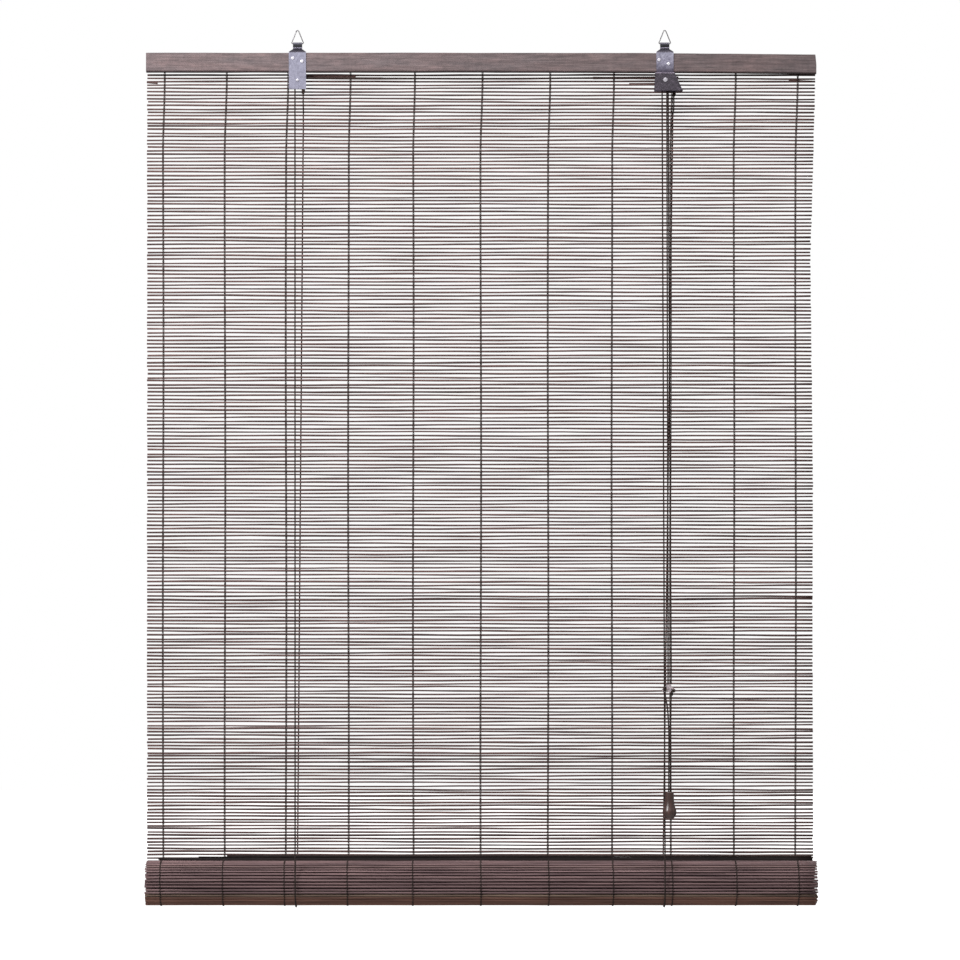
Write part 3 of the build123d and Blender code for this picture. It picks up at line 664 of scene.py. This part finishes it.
upper_paths, lower_paths, rolled_paths = [], [], []
mat_centres = np.array([row[0] for row in mat_rows])
mat_outs = np.tile(facing, (slat_count, 1))
for x in thread_x:
    upper_paths += warp_pair(x, mat_centres[: break_at + 1], mat_outs[: break_at + 1], 0)
    lower_paths += warp_pair(x, mat_centres[break_at:], mat_outs[break_at:], pi * (break_at % 2))
    rolled_paths += warp_pair(x - thread_swing, roll_centres, roll_outs, 0)
for path in upper_paths + lower_paths:
    path[:, 0] = hang_line(path[:, 0], path[:, 2])
upper_threads = tubes("threads_upper", upper_paths, thread_radius, 4, "head")
lower_threads = tubes("threads_lower", lower_paths, thread_radius, 4, "head")
rolled_threads = tubes("threads_rolled", rolled_paths, thread_radius, 4, "roll")
for piece in (upper_threads, lower_threads, rolled_threads):
    finish_piece(piece, warp_cotton, "thread", *thread_names)

for piece in (lower_slats, lower_threads):
    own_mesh(piece)


# ---------------------------------------------------------------- cords
cord_diameter = 0.0018
lay_length = 0.0075          # one turn of the cord's three strands
strand_offset = cord_diameter / 2 * 0.55
strand_radius = cord_diameter / 2 * 0.53


def route_points(points):
    """The smooth line of a route: a quadratic NURBS spline with the points as its control points."""
    curve = bpy.data.curves.new("route", "CURVE")
    curve.dimensions = "3D"
    curve.resolution_u = 24
    spline = curve.splines.new("NURBS")
    spline.points.add(len(points) - 1)
    for held, point in zip(spline.points, points):
        held.co = (*point, 1)
    spline.order_u = 3
    spline.use_endpoint_u = True
    holder = bpy.data.objects.new("route", curve)
    bpy.context.scene.collection.objects.link(holder)
    line = bpy.data.meshes.new_from_object(holder)
    found = np.array([tuple(v.co) for v in line.vertices])
    bpy.data.objects.remove(holder)
    return found


def resample(line, step):
    """The same line with its points an even step apart."""
    lengths = np.concatenate([[0], np.cumsum(np.linalg.norm(np.diff(line, axis=0), axis=1))])
    count = max(4, int(lengths[-1] / step) + 1)
    at = np.linspace(0, lengths[-1], count)
    return np.stack([np.interp(at, lengths, line[:, i]) for i in range(3)], axis=1), lengths[-1]


def laid_cord(name, points, body, *replaced):
    """Three strands laid round each other along a smooth route."""
    line, length = resample(route_points(points), lay_length / 7)
    strands = [[], [], []]
    turn = 2 * pi * length / lay_length / (len(line) - 1)
    for i, (point, (normal, side)) in enumerate(zip(line, carried_frames(line))):
        for j in range(3):
            angle = turn * i + 2 * pi * j / 3
            strands[j].append(point + strand_offset * (cos(angle) * normal + sin(angle) * side))
    piece = tubes(name, strands, strand_radius, 5, body)
    finish_piece(piece, cord_cotton, "cord", *replaced)
    return piece, line, length


def declare(piece, line, length):
    tuple(line[0])
    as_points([tuple(p) for p in line[:: max(1, len(line) // 300)]] + [tuple(line[-1])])


def centre_of(name):
    low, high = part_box(name)
    return (low + high) / 2


cord_radius = cord_diameter / 2
pass_z = -0.09765                # the height where the back cords go through the mat
guide = centre_of("guide_roller")
guide_cord_radius = 0.0037
rear_groove_y = guide.y + 0.0022
front_groove_y = guide.y - 0.0022
pulley = centre_of("left_pulley")
pulley_cord_radius = 0.003
loop_radius = roll_y - loop_low.y - cord_radius
exit_x = guide.x + guide_cord_radius
exits_x = {"a": exit_x - 0.0019, "b": exit_x - 0.0001}     # side by side at the lock's mouth
plumb_run = 0.011                # where a cord runs straight, six diameters past a bend
loop_lift = 0.0009               # how much nearer to the roll the loops' lowest control points are


def lift_cord(side, start, loop_x, knot_x, knot_bottom):
    """A lift cord's front run, its loop under the roll and its back run."""
    front_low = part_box(f"{side}_lift_cord_front")[0]
    front_end = (loop_x, front_low.y + cord_radius, front_low.z)
    middle = tuple((a + b) / 2 for a, b in zip(start, front_end))
    front, front_line, front_length = laid_cord(
        f"{side}_lift_front", [start, middle, front_end], "head", f"{side}_lift_cord_front"
    )
    back_y = roll_y + loop_radius
    knot_y = rail_low.y - 0.0004
    back, back_line, back_length = laid_cord(
        f"{side}_lift_back",
        [
            (knot_x, knot_y, knot_bottom + 0.001),
            (knot_x, knot_y, pass_z + 0.004),
            (knot_x - 0.0005, back_y, pass_z),
            (knot_x - 0.0006, back_y, pass_z - plumb_run),
            (loop_x, back_y, roll_z),
        ],
        "head",
        f"{side}_lift_cord_back",
    )
    corner = loop_radius * tan(pi / 8)
    loop, loop_line, loop_length = laid_cord(
        f"{side}_lift_loop",
        [
            (loop_x, back_y, roll_z),
            (loop_x, back_y, roll_z - corner),
            (loop_x, roll_y + corner, roll_z - loop_radius + loop_lift),
            (loop_x, roll_y - corner, roll_z - loop_radius + loop_lift),
            (loop_x, roll_y - loop_radius, roll_z - corner),
            front_end,
        ],
        "lift",
        f"{side}_lift_cord_loop",
    )
    for piece, line, length in (
        (front, front_line, front_length),
        (back, back_line, back_length),
        (loop, loop_line, loop_length),
    ):
        declare(piece, line, length)
    squash_run(front, start)
    squash_run(back, (knot_x, knot_y, knot_bottom))


def squash_run(piece, held):
    """Gives a run of cord a mesh of its own."""
    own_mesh(piece)
    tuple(held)


left_start = (pulley.x - pulley_cord_radius, pulley.y, pulley.z)
right_start = (guide.x - guide_cord_radius, rear_groove_y, guide.z)
for side, start in (("left", left_start), ("right", right_start)):
    loop_x = centre_of(f"{side}_lift_cord_loop").x
    knot_low, knot_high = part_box(f"{side}_cord_knot")
    lift_cord(side, start, loop_x, (knot_low.x + knot_high.x) / 2, knot_low.z)

transfer_sag = 0.0011
transfer, line, length = laid_cord(
    "transfer_run",
    [
        left_start,
        (left_start[0], pulley.y, pulley.z + pulley_cord_radius),
        (left_start[0] + plumb_run, pulley.y, pulley.z + pulley_cord_radius),
        (-0.05, (pulley.y + front_groove_y) / 2, guide.z + guide_cord_radius - transfer_sag),
        (0.05, (pulley.y + front_groove_y) / 2, guide.z + guide_cord_radius - transfer_sag),
        (exit_x - plumb_run, front_groove_y, guide.z + guide_cord_radius),
        (exit_x, front_groove_y, guide.z + guide_cord_radius),
        (exits_x["a"], front_groove_y, mouth_z),
    ],
    "head",
    "transfer_cord",
)
declare(transfer, line, length)
turn_corner = guide_cord_radius * tan(pi / 8)
turn, line, length = laid_cord(
    "right_turn",
    [
        right_start,
        (right_start[0], rear_groove_y, guide.z + turn_corner),
        (guide.x - turn_corner, rear_groove_y, guide.z + guide_cord_radius),
        (guide.x + turn_corner, rear_groove_y, guide.z + guide_cord_radius),
        (exit_x, rear_groove_y, guide.z + turn_corner),
        (exits_x["b"], rear_groove_y, mouth_z),
    ],
    "head",
    "right_cord_turn",
)

# ---------------------------------------------------------------- pull cords
connector_mid = (connector_low + connector_high) / 2
acorn_mid = (acorn_low + acorn_high) / 2
pull_y = connector_mid.y
strand_low = connector_high.z + 0.030      # below it the cord pays out as the blind goes up
turns_x = {"a": connector_mid.x - 0.0007, "b": connector_mid.x + 0.0029}
mouths = {"a": front_groove_y, "b": rear_groove_y}
joins = (strand_low, strand_low - 0.015, connector_high.z)


for letter in "ab":
    x, y, out_x = turns_x[letter], mouths[letter], exits_x[letter]
    run, line, length = laid_cord(
        f"pull_strand_{letter}",
        [
            (out_x, y, mouth_z),
            ((out_x + x) / 2, (y + pull_y) / 2, (mouth_z + strand_low) / 2),
            (x, pull_y, strand_low),
        ],
        "head",
        f"pull_cord_{letter}",
    )
    pay_out, drop = (
        laid_cord(f"{kind}_{letter}", [(x, pull_y, z) for z in (top, (top + low) / 2, low)], None)[0]
        for kind, top, low in (("pull_rise", joins[0], joins[1]), ("pull_drop", joins[1], joins[2]))
    )
    declare(run, line, length)
    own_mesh(run)
    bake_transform(pay_out)
    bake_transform(drop)

tail_gap = 0.0019
knot_z = centre_of("acorn_knot").z
for letter, side, out_x in (("a", -0.5, -0.0056), ("b", 0.5, 0.0032)):
    x = acorn_mid.x + side * tail_gap
    tail, line, length = laid_cord(
        f"pull_tail_{letter}_laid",
        [
            (connector_mid.x + out_x, pull_y, connector_low.z),
            (x + 0.0006, pull_y, connector_low.z - 0.014),
            (x, acorn_mid.y, acorn_high.z + cord_radius),
            (x, acorn_mid.y, knot_z),
        ],
        "pull",
        f"pull_tail_{letter}",
    )
    declare(tail, line, length)


# ---------------------------------------------------------------- knots
def knot(name, centre, size, body, *replaced):
    """A cord pulled into an overhand knot."""
    t = np.linspace(0, 2 * pi, 73)
    radius = 0.62 + 0.38 * np.cos(3 * t)
    path = np.stack([radius * np.cos(2 * t), radius * np.sin(2 * t), 0.95 * np.sin(3 * t)], axis=1)
    half = np.array(size) / 2 - cord_radius
    path = np.asarray(centre) + path * half
    piece = tubes(name, [path], cord_radius * 1.15, 8, body)
    return finish_piece(piece, cord_cotton, "cord", *replaced)


for node, body in (
    ("left_cord_knot", "head"),
    ("right_cord_knot", "head"),
    ("connector_knot", "pull"),
    ("acorn_knot", "pull"),
):
    low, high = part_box(node)
    knot(f"{node}_tied", (low + high) / 2, high - low, body, node)


# the pull cords are tied round the connector's two ears
for name, x, z, size in (
    ("ear_knot_left", connector_mid.x - 0.0048, connector_mid.z - 0.0008, (0.0042, 0.0036, 0.0062)),
    ("ear_knot_right", connector_mid.x + 0.0050, connector_mid.z - 0.0030, (0.0050, 0.0036, 0.0040)),
):
    knot(name, (x, connector_low.y - 0.0012, z), size, "pull")


# ---------------------------------------------------------------- head rail
def rail_mesh():
    """The lath, with its sawn faces a little uneven and its right end cut aslant."""
    stations = 161
    depth, height = (rail_high.y - rail_low.y) / 2, (rail_high.z - rail_low.z) / 2
    mid_y, mid_z = (rail_high.y + rail_low.y) / 2, (rail_high.z + rail_low.z) / 2
    ease = 0.0009
    outline = []
    per_side = 7
    corners = [(-1, -1), (1, -1), (1, 1), (-1, 1)]
    for (ay, az), (by, bz) in zip(corners, corners[1:] + corners[:1]):
        a = np.array([ay * depth, az * height])
        b = np.array([by * depth, bz * height])
        along = (b - a) / np.linalg.norm(b - a)
        outline += [a + along * ease * 0.3, a + along * ease]
        for t in np.linspace(0.12, 0.88, per_side):
            outline.append(a + (b - a) * t)
        outline += [b - along * ease]
    outline = np.array(outline)
    sides = len(outline)
    pull_in = 1 - 0.00012 / depth
    verts = []
    waves = [wave(np.linspace(-half_width, half_width, stations), 0.00012, 0.3) for _ in range(4)]
    for i, x in enumerate(np.linspace(-half_width, half_width, stations)):
        ring = outline.copy()
        ring[:, 0] *= pull_in
        ring[:, 0] += np.where(ring[:, 1] > 0, waves[0][i], waves[1][i]) * 0.35
        ring[:, 1] += np.where(ring[:, 1] > 0, waves[2][i], waves[3][i])
        slant = 0.0012 * np.clip(ring[:, 1] / height, 0, 1) if i == stations - 1 else 0
        sag = -0.0020 * max(0.0, x / half_width) ** 2
        places = [np.full(sides, x) - slant, mid_y + ring[:, 0], mid_z + sag + ring[:, 1]]
        verts.append(np.stack(places, axis=1))
    made = mesh_object("lath", np.concatenate(verts), ring_faces(stations, sides), "head", smooth=False)
    mark(made, "rise", np.tile((outline[:, 1] / height + 1) / 2, stations))
    return made


finish_piece(rail_mesh(), wood_rail, "rail_wood", "head_rail")

# ---------------------------------------------------------------- stage
floor_z = acorn_low.z - 2 * lift_range - 0.1     # the pull hangs this low when the blind is up
floor_half = 24.0
floor_corners = [(-1, -1), (1, -1), (1, 1), (-1, 1)]
floor = mesh_object(
    "floor", [(floor_half * x, floor_half * y, floor_z) for x, y in floor_corners], [(0, 1, 2, 3)]
)
pale, tree, shader = material("pale_floor", 0.9)
shader.inputs["Base Color"].default_value = (0.55, 0.55, 0.55, 1)
shader.inputs["Emission Color"].default_value = (1, 1, 1, 1)
seen = tree.nodes.new("ShaderNodeLightPath")
tree.links.new(seen.outputs["Is Camera Ray"], shader.inputs["Emission Strength"])
floor.data.materials.append(pale)

# the studio is white to look at, and lights the blind more from above than from below
world = bpy.data.worlds.new("studio")
bpy.context.scene.world = world
world.use_nodes = True
tree = world.node_tree
white = tree.nodes["Background"]
white.inputs["Color"].default_value = (1, 1, 1, 1)
room = tree.nodes.new("ShaderNodeBackground")
brightness = between(tree, coordinate(tree, "Generated", "Z"), -0.5, 0.9, to=(0.14, 0.72))
tree.links.new(brightness, room.inputs["Strength"])
seen = tree.nodes.new("ShaderNodeLightPath")
choice = tree.nodes.new("ShaderNodeMixShader")
tree.links.new(seen.outputs["Is Camera Ray"], choice.inputs["Fac"])
tree.links.new(room.outputs["Background"], choice.inputs[1])
tree.links.new(white.outputs["Background"], choice.inputs[2])
tree.links.new(choice.outputs["Shader"], tree.nodes["World Output"].inputs["Surface"])


def softbox(name, place, aim, size, power):
    light = bpy.data.lights.new(name, "AREA")
    light.shape = "SQUARE"
    light.size = size
    light.energy = power
    lamp = bpy.data.objects.new(name, light)
    bpy.context.scene.collection.objects.link(lamp)
    lamp.location = place
    lamp.rotation_mode = "QUATERNION"
    lamp.rotation_quaternion = (Vector(aim) - Vector(place)).to_track_quat("-Z", "Y")


softbox("key", (-1.5, -1.6, 0.5), (-0.2, 0, -0.4), 0.9, 50)
softbox("top", (0.2, -1.3, 1.5), (0, 0, -0.5), 1.2, 36)
softbox("back", (1.1, 2.2, 0.4), (0, 0, -0.5), 1.4, 34)

camera_distance = 4.8
sensor_width = 36
frame_width = 960 * 0.0011946    # what the frame takes in at the hanging line
camera = bpy.data.objects.new("camera", bpy.data.cameras.new("camera"))
bpy.context.scene.collection.objects.link(camera)
camera.location = (-0.0014, -camera_distance, -0.5362)
camera.rotation_euler = (radians(90), 0, 0)
camera.data.sensor_width = sensor_width
camera.data.lens = sensor_width * camera_distance / frame_width
camera.data.clip_end = 100
bpy.context.scene.camera = camera
bpy.context.scene.view_settings.view_transform = "Standard"
